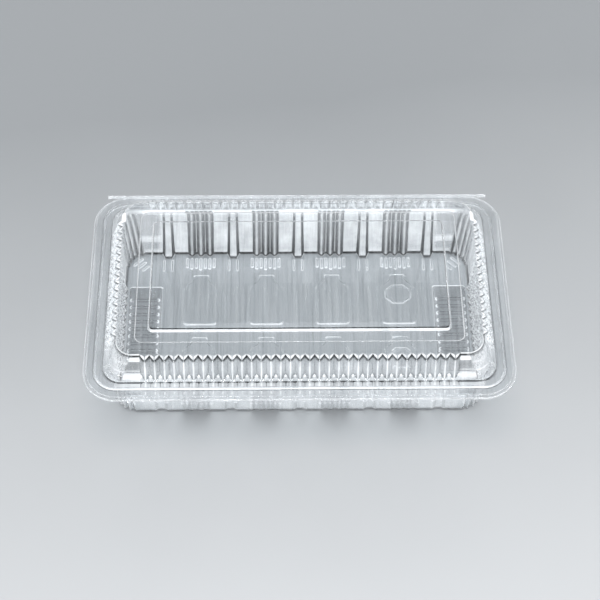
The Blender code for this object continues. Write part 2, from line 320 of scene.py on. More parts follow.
def rib(skin, ends, r, rise, z, bright=0.5, dark=0.3, edge=0.0, base=0.0, core=0.0):
    """A low rounded rib pressed up from a flat area, with painted highlights on its round ends and painted shade along
    its flanks. Returns its outermost ring.
    """
    levels = [(1.1, 0.0, 0.1), (1.0, 0.0, 0.6), (0.86, 0.12, 1.0), (0.62, 0.62, 1.0), (0.4, 0.92, 0.4), (0.24, 1.0, 0.1)]
    middle = np.array([(ends[0] + ends[2]) / 2, (ends[1] + ends[3]) / 2])
    half = math.dist(ends[:2], ends[2:]) / 2
    rings = []
    for w, h, much in levels:
        points = np.array(stadium(*ends, r * w, z + rise * h))
        along = (points[:, :2] - middle) @ ((np.array(ends[2:]) - middle) / half)
        tip = np.clip((np.abs(along) - half + 0.1) / 0.4, 0, 1)
        rings.append(skin.ring(points, np.maximum(tip, edge) * bright * max(much, core * h) + 0.02, base + (1 - tip) * dark * much))
    for a, b in zip(rings, rings[1:]):
        skin.band(a, b)
    skin.fill(rings[-1])
    return rings[0]


# ---------------------------------------------------------------- lid
def placer(skin, cols):
    """Adds rings by size and height. Each of the sheet's looks, painted highlight and painted shade among them, is one
    value, or tone()'s arguments.
    """
    def at(x, y, r, z, frost=0.0, shade=0.0, block=0.0, painted_glints=0.0, back=0.0, **more):
        points = cols.ring(x, y, r, z, **more)
        if back:
            far = points[:, 1] > 50
            points[:, 1] += far * back * np.clip((85.5 - np.abs(points[:, 0])) / 2.0, 0, 1)
        return skin.ring(points, *(cols.tone(**v) if isinstance(v, dict) else v
                                   for v in (frost, shade, block, painted_glints)))
    return at


def build_lid():
    cols = Columns()
    for k in range(4):
        if k % 2:
            cols.side(k, [(-75.7, 0.0, 0.0, 0.0), (-73.1, 0.0, 0.0, 0.0)] + flutes(33, 4.4)
                      + [(73.1, 0.0, 0.0, 0.0), (75.7, 0.0, 0.0, 0.0)])
        else:
            cols.side(k, flutes(16, 4.2))
        cols.turn(k, 14)
    cols.done()
    skin = Skin()
    at = placer(skin, cols)

    def near(x, z, **more):
        """A ring of the rim, whose width and depth shrink together from the rim's edge."""
        d = 98.8 - x
        return at(98.8 - d, 57.7 - d, 14.8 - d, z, **more)

    # Painted highlights and painted shade of the lid, scaled by side, strongest along the front: the milky share
    # paints white bars on the flange ribs, the ledge teeth, the step and the wall's foot; the dark share paints shade
    # in the gaps and slots between them and along the wall.
    bars = dict(plain=0.08, face=0.16, top=0.34, turn=0.05, sides=(0.2, 0.4, 0.2, 1), least=(0, 0.22, 0, 0))
    gaps = dict(plain=0.15, face=0.04, top=0.0, turn=0.0, sides=(0, 0.1, 0, 1))
    teeth = dict(plain=0.06, face=0.3, top=0.5, turn=0.06, outer=0.3, panel=73, sides=(0.1, 0.4, 0.1, 1),
                 least=(0, 0.22, 0, 0))
    slots = dict(plain=0.4, face=0.22, top=0.0, turn=0.04, outer=0.1, panel=73, sides=(0.1, 0.08, 0.1, 1))
    side = (0.2, 0.2, 0.2, 0.85)
    thin = (0.2, 0.2, 0.2, 1.0)
    dim = (0.45, 0.1, 0.45, 1.0)
    shelf = (0.35, 0.4, 0.35, 0.75)
    step_up = dict(plain=0.12, sides=(0.3, 0.3, 0.3, 3.0))
    # Painted glints on the left and right walls only.
    speckle = dict(plain=0.5, turn=0.08, sides=(1, 0, 1, 0))

    def slope(z, plain, face, top, turn, outer, dark, dark_face=0.1, dark_outer=0.1, reach=0.0, spot=0.0):
        """A ring of the fluted wall; its milky share, partly painted highlight, and its painted shade by place."""
        up = z - 34.0
        return at(88.15 - 0.3693 * up, 48.3 - 0.366 * up, 7.8, z, flute=1.95 + 0.0375 * up, painted_glints=speckle,
                  frost=dict(plain=plain, face=0.9 * face, top=top, turn=turn + 0.12, outer=outer, panel=73,
                             reach=reach, spot=spot, sides=side),
                  shade=dict(plain=dark, face=dark_face, top=0.0, turn=0.04, outer=dark_outer, panel=73, sides=dim))

    # The rim's edges, flange ribs, ledge and wall foot carry painted highlights; the ledge's inner step a painted dark
    # line; the fluted wall painted highlights on crests and painted shade in valleys, with painted highlight spots at
    # the back corners.
    rings = [
        near(98.80, 30.76, back=0.62, frost=0.15), near(98.72, 30.92, back=0.62, frost=0.2),
        near(98.5, 31.0, back=0.6, frost=0.2), near(98.2, 31.0, back=0.4, frost=0.04),
        near(97.9, 31.0, frost=0.03), near(97.6, 31.0, rib=0.16, rib_short=0, frost=bars, shade=gaps),
        near(97.2, 31.0, rib=0.22, rib_short=0, frost=bars, shade=gaps),
        near(96.7, 31.0, rib=0.22, rib_short=0, frost=bars, shade=gaps),
        near(96.3, 31.0, rib=0.16, rib_short=0, frost=bars, shade=gaps), near(96.0, 31.0, frost=0.04),
        near(95.7, 31.0, frost=dict(plain=0.02, least=(0, 0, 0, 0.15))),
        near(95.45, 31.04, shade=dict(plain=0.4, sides=(0.6, 0.3, 0.6, 1.5))),
        near(95.25, 31.22, frost=step_up), near(95.08, 31.74, frost=step_up), near(94.9, 31.94, frost=step_up),
        near(94.6, 32.0, frost=0.03), near(94.3, 32.0, frost=0.04),
        near(94.0, 32.0, rib=0.22, rib_short=0.0, frost=teeth, shade=slots),
        near(93.7, 32.0, rib=0.42, rib_short=0.0, frost=teeth, shade=slots),
        near(93.2, 32.0, rib=0.5, rib_short=0.0, frost=teeth, shade=slots),
        near(92.2, 32.0, rib=0.5, rib_short=0.0, frost=teeth, shade=slots),
        near(91.8, 32.0, rib=0.4, rib_short=0.0, frost=teeth, shade=slots),
        near(91.5, 32.0, rib=0.1, rib_short=0.0, frost=0.05, shade=dict(plain=0.15, sides=thin)),
        at(91.25, 51.25, 9.6, 32.0, shade=dict(plain=0.35, sides=thin)),
        at(91.05, 51.05, 9.5, 32.06, shade=dict(plain=0.75, sides=thin)),
        at(90.92, 50.98, 9.4, 32.4, shade=dict(plain=0.65, sides=thin)),
        at(90.8, 50.88, 9.3, 32.5, shade=dict(plain=0.3, sides=thin)),
        at(90.6, 50.72, 9.2, 32.5, frost=dict(plain=0.1, turn=0.1, sides=shelf)),
        at(90.4, 50.55, 9.1, 32.53, flute=0.08, dz=0.05, frost=dict(plain=0.2, turn=0.3, sides=shelf)),
        at(90.1, 50.25, 9.0, 32.66, flute=0.3, dz=0.15, frost=dict(plain=0.3, turn=0.1, sides=shelf)),
        at(88.75, 48.9, 8.2, 33.36, flute=1.5, dz=0.1,
           frost=dict(plain=0.4, face=0.25, top=0.1, turn=0.1, outer=0.7, panel=73, reach=0.3, sides=shelf)),
        at(88.4, 48.52, 7.9, 33.62, flute=1.82,
           frost=dict(plain=0.85, face=0.1, top=0.4, turn=0.06, outer=0.6, panel=73, reach=0.2, sides=shelf),
           shade=dict(plain=0.0, face=0.3, top=0.0, turn=0.05, sides=dim)),
        slope(34.0, 1.0, 0.08, 0.55, 0.06, 0.55, 0.0, 0.3, reach=0.14),
        slope(34.5, 0.5, 0.05, 0.6, 0.05, 0.55, 0.0, 0.2), slope(34.9, 0.1, 0.05, 0.6, 0.05, 0.5, 0.2, 0.2),
        slope(35.7, 0.1, 0.12, 0.6, 0.12, 0.15, 0.25),
        slope(36.2, 0.05, 0.18, 0.6, 0.4, 0.15, 0.3),
        slope(36.6, 0.05, 0.18, 0.6, 0.08, 0.5, 0.3), slope(37.0, 0.05, 0.18, 0.6, 0.05, 0.12, 0.3),
        slope(39.2, 0.05, 0.18, 0.6, 0.05, 0.1, 0.3, 0.08, 0.15), slope(40.6, 0.05, 0.16, 0.6, 0.3, 0.1, 0.3, 0.08, 0.15),
        slope(41.4, 0.08, 0.14, 0.55, 0.06, 0.15, 0.3), slope(41.8, 0.12, 0.14, 0.55, 0.06, 0.65, 0.3, 0.1, 0.0),
        slope(42.8, 0.12, 0.12, 0.5, 0.1, 0.8, 0.35, 0.15, 0.0, spot=4.0),
        slope(43.4, 0.0, 0.06, 0.4, 0.1, 0.6, 0.6, 0.4, 0.2, spot=4.0),
    ]
    # the top edge: a fillet on the plain wall, a sloping cap on each flute
    centre = (83.0, 44.0)
    cap = [(86.86, 43.72), (86.7, 43.98), (86.42, 44.15), (85.9, 44.36), (85.1, 44.68), (84.3, 44.98),
           (83.6, 45.22), (83.0, 45.38)]
    # Painted shade and highlight along the top edge: dark is a band of shade under it, pale a painted highlight just
    # above.
    dark = [0.85, 1.0, 0.8, 0.15, 0.0, 0.0, 0.0, 0.0]
    cap_highlight = [0.0, 0.0, 0.1, 0.7, 0.7, 0.05, 0.0, 0.0]
    for i, (x, z) in enumerate(cap):
        a = math.radians(18.4 + (90 - 18.4) * i / (len(cap) - 1))
        px, pz = centre[0] + 1.4 * math.cos(a), centre[1] + 1.4 * math.sin(a)
        inset = 84.0 - px
        rings.append(at(px, 44.2 - inset, 8.0 - inset, pz, flute=x - px, dz=z - pz,
                        shade=dict(plain=dark[i], face=0.7 * dark[i], top=0.0, turn=0.5 * dark[i],
                                   sides=(0.6, 0.25, 0.6, 1.0)),
                        frost=dict(plain=0.3 * cap_highlight[i], face=cap_highlight[i], top=0.1 * cap_highlight[i], turn=0.7 * cap_highlight[i],
                                   outer=cap_highlight[i], panel=73, reach=0.1, spot=0.8, sides=(1.0, 0.5, 1.0, 1.0))))
    rings.append(at(82.6, 42.8, 6.6, 45.4, frost=0.02))
    for a, b in zip(rings, rings[1:]):
        skin.band(a, b)

    def step(rows, sides=1.0):
        """A raised or sunk edge; its painted highlight and painted shade are fainter on the sides than along the
        front.
        """
        made = []
        for hx, hy, r, z, frost, shade in rows:
            points = np.array(rectangle(hx, hy, r, z))
            front = np.clip((-hy + 1.0 - points[:, 1]) / 0.6, 0, 1)
            much = sides + (1 - sides) * front
            made.append(skin.ring(points, frost * much, shade * (0.2 + 0.8 * front)))
        for a, b in zip(made, made[1:]):
            skin.band(a, b)
        return made

    # The crease and the raised panel: a painted highlight along each front slope and a painted dark line just above
    # the panel's.
    bx, by, br = 75.6, 37.5, 3.6
    crease = step([(bx + 0.2, by + 0.2, br + 0.2, 45.4, 0.02, 0), (bx, by, br, 45.4, 0.05, 0),
                   (bx - 0.12, by - 0.12, br - 0.1, 45.34, 0.1, 0), (bx - 0.28, by - 0.28, br - 0.2, 45.14, 0.4, 0),
                   (bx - 0.42, by - 0.42, br - 0.3, 45.08, 0.15, 0), (bx - 0.62, by - 0.62, br - 0.4, 45.1, 0.02, 0),
                   (bx - 0.8, by - 0.8, br - 0.5, 45.1, 0.02, 0), (bx - 1.0, by - 1.0, br - 0.6, 45.1, 0.02, 0)])
    ax, ay, ar = 69.8, 32.0, 2.6
    panel = step([(ax + 0.35, ay + 0.35, ar + 0.3, 45.1, 0.02, 0), (ax + 0.12, ay + 0.12, ar + 0.1, 45.1, 0.03, 0),
                  (ax - 0.05, ay - 0.05, ar, 45.15, 0.1, 0), (ax - 0.18, ay - 0.18, ar - 0.05, 45.3, 0.45, 0),
                  (ax - 0.68, ay - 0.68, ar - 0.4, 46.36, 0.45, 0), (ax - 0.84, ay - 0.84, ar - 0.5, 46.6, 0.0, 0.7),
                  (ax - 1.05, ay - 1.05, ar - 0.6, 46.72, 0.0, 0.8), (ax - 1.3, ay - 1.3, ar - 0.7, 46.75, 0.02, 0.5),
                  (ax - 1.5, ay - 1.5, ar - 0.9, 46.75, 0.02, 0)], 0.4)
    skin.fill(rings[-1], crease[0])
    skin.fill(crease[-1], panel[0])
    skin.fill(panel[-1])
    return skin.solid("lid_skin", rings[0])


# ---------------------------------------------------------------- tray
def pad_outline(x, y, shrink, z):
    """A floor pad: wide at the front with small bevelled corners, shouldered to a neck at the back.
    Its flanks are gentler than its front."""
    half, neck, length = 9.3 - 2.6 * shrink, 3.9 - 1.2 * shrink, 30.4 - shrink
    right = [(6.9 - shrink, shrink), (7.7 - shrink, shrink + 0.3), (8.3 - shrink, shrink + 1.2),
             (8.6 - shrink, shrink + 2.2), (half, shrink + 5.0), (half, 19.9), (half - 0.5, 22.0), (half - 1.9, 24.3),
             (neck + 1.0, 26.0), (neck + 0.2, 27.4), (neck, 28.6), (neck, length - 0.5), (neck - 0.5, length)]
    return [(x + u, y + v, z) for u, v in right + [(-u, v) for u, v in reversed(right)]]


def octagon(x, y, reach, z):
    out = reach / math.cos(math.pi / 8)
    turns = [math.pi / 8 + math.pi / 4 * i for i in range(8)]
    return [(x + out * math.cos(a), y + 0.88 * out * math.sin(a), z) for a in turns]


def build_tray():
    cols = Columns()
    for k in range(4):
        if k % 2 == 0:
            cols.side(k, flutes(12, 4.27))
        else:
            run, aside = [(-73.5, 0.0, 0.0, 0.0), (-71.2, 0.0, 0.0, 0.0)], 0.4 * (k - 2)
            for i in ENDS:
                run += pilaster_places(i * COLUMN + aside)
                if i < 2:
                    run += flutes(3, 4.5, i * COLUMN + COLUMN / 2 + aside)
            cols.side(k, run + [(71.2, 0.0, 0.0, 0.0), (73.5, 0.0, 0.0, 0.0)])
        cols.turn(k, 35, ribs=5)
    cols.done()
    skin = Skin()

    at = placer(skin, cols)
    # Painted glints on the left and right walls only.
    speckle = dict(plain=0.95, turn=0.05, sides=(1, 0, 1, 0))

    def near(x, z, **more):
        d = 100.0 - x
        return at(x, 58.9 - d, 16.0 - d, z, **more)

    def wall(x, y, z, flute, pilaster, half, frost, dark, outer=0.12):
        """A ring of the wall: milky flats, partly painted highlight and more on the back than the front, between clear
        flutes and cheeks darkened with painted shade.
        """
        # Painted contact shade at the front wall's foot, and the least milky share on the front.
        low, painted_darkening = np.interp(z, [2.5, 3.5, 9, 15], [0.05, 0.14, 0.14, 0.12]), np.interp(z, [1, 3.0], [0.3, 0.0])
        return at(x, y, 9.0, z, flute=flute, short=0.9 * flute if z > 15 else 0.75 * flute, corner=0.8 * flute,
                  pilaster=pilaster, half=half, squeeze=1 - 0.015 * z / 30, painted_glints=speckle,
                  front=np.interp(z, [9, 16], [0.25, 1.0]),
                  frost=dict(plain=0.93 * frost, face=0.02, top=frost, cheek=0.02, pilaster=0.93 * frost,
                             turn=0.9 * frost, fold=0.0, outer=outer, sides=(0.7, 1, 0.7, 0.25 if z > 3 else 0.05),
                             least=(0.2, 0, 0.2, low), reach=0.05, peak=(0.7, 0.93)),
                  shade=dict(plain=0.0, face=0.95 * dark, top=0.0, cheek=dark if pilaster < -0.05 else 0.0,
                             pilaster=0.0, turn=0.0, fold=1.2 * dark, sides=(0.25, 1, 0.25, 0.12),
                             least=(0, 0, 0, painted_darkening), reach=0.02,
                             peak=(0.7, 0.93)),
                  block=dict(plain=0.1, face=1.0, top=0.8, cheek=0.5, pilaster=0.2, turn=0.3))

    # Per-side scales: foot for the painted dark line of contact shade along the foot, lit for the painted highlight
    # band along the shoulder, brightest at the back.
    foot = (0.5, 1, 0.5, 0.5)
    lit = (0.5, 1.5, 0.5, 0.5)
    rings = [
        near(100.0, 28.95, frost=0.2), near(100.0, 29.2, frost=0.2), near(99.98, 29.9, frost=0.2),
        near(99.86, 30.12, frost=0.3), near(99.62, 30.2, frost=0.2), near(99.3, 30.2, frost=0.03),
        near(94.95, 30.2, frost=0.03, shade=0.04), near(94.65, 30.24, frost=0.1), near(94.45, 30.42, frost=0.2),
        near(94.25, 30.94, frost=0.2), near(94.05, 31.14, frost=0.15), near(93.75, 31.2, frost=0.05),
        near(93.4, 31.2, frost=0.04),
        at(90.8, 50.7, 9.2, 31.2, frost=0.06), at(90.35, 50.25, 9.1, 31.16, frost=dict(plain=0.3, turn=0.15, sides=lit)),
        at(89.95, 49.85, 9.0, 31.0, frost=dict(plain=0.6, turn=0.25, sides=lit)),
        # Painted shade: dark dots over the flute groups at the shoulder.
        at(89.5, 49.42, 9.0, 30.66, flute=-0.1, short=-0.05, frost=dict(plain=0.65, face=0.05, top=0.5, turn=0.25, sides=lit),
           shade=dict(plain=0.0, face=0.9, top=0.1, sides=foot)),
        at(89.1, 49.03, 9.0, 30.2, flute=-0.35, short=-0.2, corner=-0.1,
           frost=dict(plain=0.6, face=0.2, turn=0.2, sides=lit), shade=dict(plain=0.0, face=0.9, top=0.1, sides=foot)),
        wall(88.75, 48.7, 29.6, -0.65, 0.0, 2.4, 0.5, 0.3), wall(88.5, 48.48, 28.9, -0.85, 0.0, 2.4, 0.45, 0.25),
        wall(88.3, 48.38, 28.0, -0.95, -0.02, 2.4, 0.42, 0.25), wall(88.2, 48.33, 27.3, -1.0, -0.1, 2.4, 0.42, 0.28),
        wall(88.1, 48.28, 26.5, -1.02, -0.5, 2.4, 0.42, 0.3), wall(88.0, 48.24, 25.8, -1.04, -0.9, 2.4, 0.42, 0.32),
        wall(87.2, 47.6, 14.5, -1.3, -1.35, 2.6, 0.46, 0.5, 0.12), wall(87.05, 47.44, 11.8, -1.37, -1.5, 2.65, 0.48, 0.55, 0.6),
        wall(86.9, 47.3, 9.2, -1.43, -1.6, 2.7, 0.48, 0.6, 0.55), wall(86.8, 47.2, 7.8, -1.46, -1.66, 2.75, 0.46, 0.64, 0.05),
        wall(86.55, 47.02, 4.2, -1.55, -1.85, 2.85, 0.42, 0.7, 0.1), wall(86.45, 46.9, 2.6, -1.62, -2.05, 2.9, 0.5, 0.72, 0.4),
        wall(86.35, 46.82, 1.5, -1.75, -2.3, 2.95, 0.6, 0.72, 0.5), wall(86.3, 46.7, 0.95, -1.9, -2.6, 3.0, 0.4, 0.72, 0.3),
        # Painted contact shadow: the foot rows' dark share paints a dark line where wall meets floor.
        at(86.2, 46.6, 8.9, 0.74, flute=-2.0, short=-1.1, corner=-1.3, pilaster=-2.75, half=3.0, front=0.25,
           shade=dict(plain=1.0, face=0.8, top=0.2, cheek=0.6, pilaster=0.5, turn=0.4, sides=foot), block=1.0),
        at(86.0, 46.38, 8.8, 0.52, flute=-2.1, short=-1.1, corner=-1.3, pilaster=-2.9, half=3.0, front=0.25,
           shade=dict(plain=1.0, face=0.7, top=0.1, cheek=0.5, pilaster=0.4, turn=0.4, sides=foot), block=1.0),
        at(85.7, 46.1, 8.6, 0.39, flute=-2.1, short=-1.1, corner=-1.2, pilaster=-3.0, half=3.05, front=0.25,
           shade=dict(plain=0.6, face=0.2, cheek=0.1, turn=0.1, sides=foot), block=1.0,
           frost=dict(plain=0.0, face=0.4, cheek=0.6, pilaster=0.2)),
        at(85.4, 45.8, 8.3, FLOOR_Z, flute=-2.0, short=-1.0, corner=-1.0, pilaster=-2.9, half=3.1, front=0.25, shade=0.1, block=0.6,
           frost=dict(plain=0.0, face=0.5, cheek=0.6, pilaster=0.2)),
        at(85.1, 45.5, 8.0, FLOOR_Z, flute=-2.0, short=-0.9, corner=-0.9, pilaster=-2.9, half=3.15, front=0.25, frost=0.02),
    ]
    for a, b in zip(rings, rings[1:]):
        skin.band(a, b)

    holes = []
    for y in (2.2, -35.4):
        for i in range(4):
            x = (i - 1.5) * COLUMN + 0.8
            levels = [(-0.15, 0.0, 0.1), (0.0, 0.0, 0.6), (0.14, 0.06, 1.0), (0.3, 0.24, 1.0), (0.45, 0.38, 1.0),
                      (0.62, 0.44, 0.4), (0.8, 0.44, 0.0)]
            made = []
            for s, h, much in levels:
                points = np.array(pad_outline(x, y, s, FLOOR_Z + h))
                # Painted highlights along each pad's front and rear edges.
                front = np.clip((y + 1.5 - points[:, 1]) / 0.5, 0, 1)
                back = np.clip((points[:, 1] - y - 29.2) / 0.6, 0, 1)
                made.append(skin.ring(points, 0.02 + much * (0.85 * front + 0.6 * back)))
            for a, b in zip(made, made[1:]):
                skin.band(a, b)
            holes.append(made[0])
            if i < 3:
                skin.fill(made[-1])
                continue
            top = FLOOR_Z + 0.44
            marks = []
            for reach, h, much in ((6.8, 0, 0), (6.68, 0, 0.3), (6.55, 0.06, 0.8), (6.3, 0.3, 1.0), (6.1, 0.36, 0.3),
                                   (5.8, 0.36, 0.1), (5.65, 0.3, 0.2), (5.4, 0.06, 0.1), (5.25, 0, 0), (5.1, 0, 0)):
                points = np.array(octagon(x, y + 17.8, reach, top + h))
                # Painted highlight on the octagon's front and rear sides, fainter on the rest.
                level = np.where(np.abs(points[:, 0] - x) < 4, 0.8, 0.3)
                marks.append(skin.ring(points, 0.02 + much * level))
            for a, b in zip(marks, marks[1:]):
                skin.band(a, b)
            skin.fill(made[-1], marks[0])
            skin.fill(marks[-1])
    # the darker fields at the ends, darker towards the outer side, with a painted highlight along each rear edge, and
    # their short ribs
    for sx in (-1, 1):
        field = []
        for inset, h, rear, dark in ((0.0, 0.0, 0.0, 0.0), (0.1, 0.0, 1.0, 0.0), (0.5, 0.03, 1.0, 0.0),
                                     (0.6, 0.12, 0.0, 0.4), (0.75, 0.24, 0.0, 0.4), (1.0, 0.24, 0.0, 0.15)):
            near, far = 67.2 + inset, 84.0 - 0.3 * inset
            points = np.array(rectangle((far - near) / 2, 25.6 - inset, 1.5 - inset, FLOOR_Z + h))
            points += (sx * (near + far) / 2, 0, 0)
            lit_edge = np.clip((points[:, 1] - 24.0) / 0.6, 0, 1)
            outer = np.clip((sx * points[:, 0] - 74) / 8, 0, 1)
            field.append(skin.ring(points, 0.02 + rear * lit_edge, dark * (0.7 + 0.6 * outer)))
        for a, b in zip(field, field[1:]):
            skin.band(a, b)
        ribs = []
        for i in range(9):
            y = (i - 4) * 4.27
            ribs.append(rib(skin, (sx * 69.6, y, sx * 82.35, y), 1.15, 0.42, FLOOR_Z + 0.24, 1.0, 0.12, base=0.15))
        skin.fill(field[-1], *ribs)
        holes.append(field[0])
    # low ribs across the corners, with painted highlights along them
    for sx in (-1, 1):
        for sy in (-1, 1):
            for out, long in ((4.6, 2.6), (1.9, 2.2), (-0.8, 1.6)):
                cx, cy = sx * (77.1 + 0.707 * out), sy * (37.5 + 0.707 * out)
                dx, dy = 0.707 * long, -0.707 * long * sx * sy
                holes.append(rib(skin, (cx - dx, cy - dy, cx + dx, cy + dy), 0.75, 0.4, FLOOR_Z, 0.7, 0.0, 0.9))
    # the flutes' and pilasters' feet running out on the floor, with painted highlights, the flutes' feet brighter at
    # the back
    for sy in (-1, 1):
        for i in range(4):
            for j in range(-3, 4):
                x = (i - 1.5) * COLUMN + 0.4 + j * 2.25
                start = 36.7 - 0.3 * sy + 0.25 * abs(j) + 0.7 * (j % 2)
                holes.append(rib(skin, (x, sy * start, x, sy * 42.3), 0.9, 0.55, FLOOR_Z, 0.65 + 0.2 * sy, 0.1, 0.55,
                                 core=0.5))
        for i in ENDS:
            for side in (-1, 1):
                x = i * COLUMN + 0.4 + side * 2.1
                holes.append(rib(skin, (x, sy * 35.6, x, sy * 41.6), 0.7, 0.4, FLOOR_Z, 0.6, 0.0, 0.8))
    skin.fill(rings[-1], *holes)
    return skin.solid("tray_skin", rings[0])


def build_fold():
    """The rolled fold along the back: a tube of sheet, its ends open."""
    reach, sides = 94.0, 20
    spans = [-reach, -reach + 0.5, -60.0, -20.0, 20.0, 60.0, reach - 0.5, reach]
    points, faces = [], []
    for r in (0.78, 0.46):
        for x in spans:
            for i in range(sides):
                a = 2 * math.pi * i / sides
                points.append((x, 59.1 + r * math.cos(a), 30.35 + r * math.sin(a)))
    n, m = sides, len(spans)
    for j in range(m - 1):
        for i in range(n):
            k = (i + 1) % n
            faces.append((j * n + i, j * n + k, (j + 1) * n + k, (j + 1) * n + i))
            b = m * n
            faces.append((b + j * n + k, b + j * n + i, b + (j + 1) * n + i, b + (j + 1) * n + k))
    b = m * n
    for i in range(n):
        k = (i + 1) % n
        faces.append((i, b + i, b + k, k))
        e = (m - 1) * n
        faces.append((e + k, b + e + k, b + e + i, e + i))
    mesh = bpy.data.meshes.new("fold_roll")
    mesh.from_pydata([(x * MM, y * MM, z * MM) for x, y, z in points], [], faces)
    mesh.polygons.foreach_set("use_smooth", [len(f) == 4 and i < 2 * (m - 1) * n for i, f in enumerate(faces)])
    # The milky share along the fold, partly painted highlight.
    layer = mesh.attributes.new("frost", "FLOAT", "POINT")
    layer.data.foreach_set("value", [0.15] * len(points))
    mesh.update()
    thing = bpy.data.objects.new("fold_roll", mesh)
    bpy.context.scene.collection.objects.link(thing)
    return thing


# ---------------------------------------------------------------- materials
def node(tree, kind, at=(0, 0), **values):
    made = tree.nodes.new(kind)
    made.location = at
    for key, value in values.items():
        setattr(made, key, value)
    return made


def clear_plastic(name, stretch):
    """Clear sheet: refracting to the eye, open to lamps, with faint flow lines from the rolling.

    frost makes it milky, partly a real haze and partly painted highlights set where the lamps' glints fall; shade is
    painted shade that darkens its folds, creases, flutes and foot.
    """
    material = bpy.data.materials.new(name)
    material.use_nodes = True
    tree = material.node_tree
    tree.nodes.clear()
    link = tree.links.new
    out = node(tree, "ShaderNodeOutputMaterial", (1400, 0))
    place = node(tree, "ShaderNodeTexCoord", (-1200, 0))
    scale = node(tree, "ShaderNodeMapping", (-1000, 0))
    scale.inputs["Scale"].default_value = stretch
    link(place.outputs["Object"], scale.inputs["Vector"])
    lines = node(tree, "ShaderNodeTexNoise", (-800, 0))
    lines.inputs["Scale"].default_value = 1.0
    lines.inputs["Detail"].default_value = 3.0
    link(scale.outputs["Vector"], lines.inputs["Vector"])
    bump = node(tree, "ShaderNodeBump", (-500, -300))
    bump.inputs["Strength"].default_value = 0.08
    bump.inputs["Distance"].default_value = 0.0001
    link(lines.outputs["Fac"], bump.inputs["Height"])

    # Painted shade: the shade attribute, with faint random streaks, darkens the glass's colour towards near black in
    # folds, creases, flutes and along the foot.
    shade = node(tree, "ShaderNodeAttribute", (-500, 200), attribute_name="shade")
    tint = node(tree, "ShaderNodeValToRGB", (-300, 200))
    tint.color_ramp.elements[0].position = 0.0
    tint.color_ramp.elements[0].color = (0.985, 0.99, 0.993, 1)
    tint.color_ramp.elements[1].position = 1.0
    tint.color_ramp.elements[1].color = (0.05, 0.055, 0.06, 1)
    dim = node(tree, "ShaderNodeMapRange", (-500, 400))
    dim.inputs["From Min"].default_value = 0.5
    dim.inputs["From Max"].default_value = 0.25
    dim.inputs["To Min"].default_value = 0.0
    dim.inputs["To Max"].default_value = 0.07
    link(lines.outputs["Fac"], dim.inputs["Value"])
    dimmed = node(tree, "ShaderNodeMath", (-400, 300), operation="ADD", use_clamp=True)
    link(shade.outputs["Fac"], dimmed.inputs[0])
    link(dim.outputs["Result"], dimmed.inputs[1])
    link(dimmed.outputs[0], tint.inputs["Fac"])
    glass = node(tree, "ShaderNodeBsdfGlass", (100, 100))
    glass.inputs["Roughness"].default_value = 0.0
    glass.inputs["IOR"].default_value = 1.5
    link(tint.outputs["Color"], glass.inputs["Color"])
    link(bump.outputs["Normal"], glass.inputs["Normal"])
    through = node(tree, "ShaderNodeBsdfTransparent", (100, -100))
    passed = node(tree, "ShaderNodeValToRGB", (-300, -100))
    passed.color_ramp.elements[0].position = 0.0
    passed.color_ramp.elements[0].color = (0.94, 0.95, 0.955, 1)
    passed.color_ramp.elements[1].position = 1.0
    passed.color_ramp.elements[1].color = (0.3, 0.31, 0.32, 1)
    block = node(tree, "ShaderNodeAttribute", (-500, -100), attribute_name="block")
    link(block.outputs["Fac"], passed.inputs["Fac"])
    link(passed.outputs["Color"], through.inputs["Color"])
    path = node(tree, "ShaderNodeLightPath", (-100, 500))
    lamps = node(tree, "ShaderNodeMath", (100, 400), operation="MAXIMUM")
    link(path.outputs["Is Shadow Ray"], lamps.inputs[0])
    link(path.outputs["Is Diffuse Ray"], lamps.inputs[1])
    sheet = node(tree, "ShaderNodeMixShader", (400, 0))
    link(lamps.outputs[0], sheet.inputs["Fac"])
    link(glass.outputs[0], sheet.inputs[1])
    link(through.outputs[0], sheet.inputs[2])

    front = node(tree, "ShaderNodeBsdfDiffuse", (400, -250))
    front.inputs["Color"].default_value = (0.97, 0.975, 0.985, 1)
    glow = node(tree, "ShaderNodeBsdfTranslucent", (400, -400))
    glow.inputs["Color"].default_value = (0.97, 0.975, 0.985, 1)
    milk = node(tree, "ShaderNodeMixShader", (700, -300))
    milk.inputs["Fac"].default_value = 0.5
    link(front.outputs[0], milk.inputs[1])
    link(glow.outputs[0], milk.inputs[2])
    # The milky share: partly a real haze, partly painted highlights, varied by random clouds and streaks.
    frost = node(tree, "ShaderNodeAttribute", (-100, 700), attribute_name="frost")
    haze = node(tree, "ShaderNodeMapRange", (400, 450))
    haze.inputs["From Min"].default_value = 0.5
    haze.inputs["From Max"].default_value = 0.8
    haze.inputs["To Min"].default_value = 0.0
    haze.inputs["To Max"].default_value = 0.1
    link(lines.outputs["Fac"], haze.inputs["Value"])
    total = node(tree, "ShaderNodeMath", (700, 450), operation="ADD", use_clamp=True)
    cloud = node(tree, "ShaderNodeTexNoise", (-100, 950))
    cloud.inputs["Scale"].default_value = 90.0
    cloud.inputs["Detail"].default_value = 4.0
    link(place.outputs["Object"], cloud.inputs["Vector"])
    patchy = node(tree, "ShaderNodeMapRange", (100, 950))
    patchy.inputs["From Min"].default_value = 0.3
    patchy.inputs["From Max"].default_value = 0.7
    patchy.inputs["To Min"].default_value = 0.6
    patchy.inputs["To Max"].default_value = 1.25
    link(cloud.outputs["Fac"], patchy.inputs["Value"])
    cloudy = node(tree, "ShaderNodeMath", (300, 800), operation="MULTIPLY")
    link(frost.outputs["Fac"], cloudy.inputs[0])
    link(patchy.outputs["Result"], cloudy.inputs[1])
    link(cloudy.outputs[0], total.inputs[0])
    link(haze.outputs["Result"], total.inputs[1])
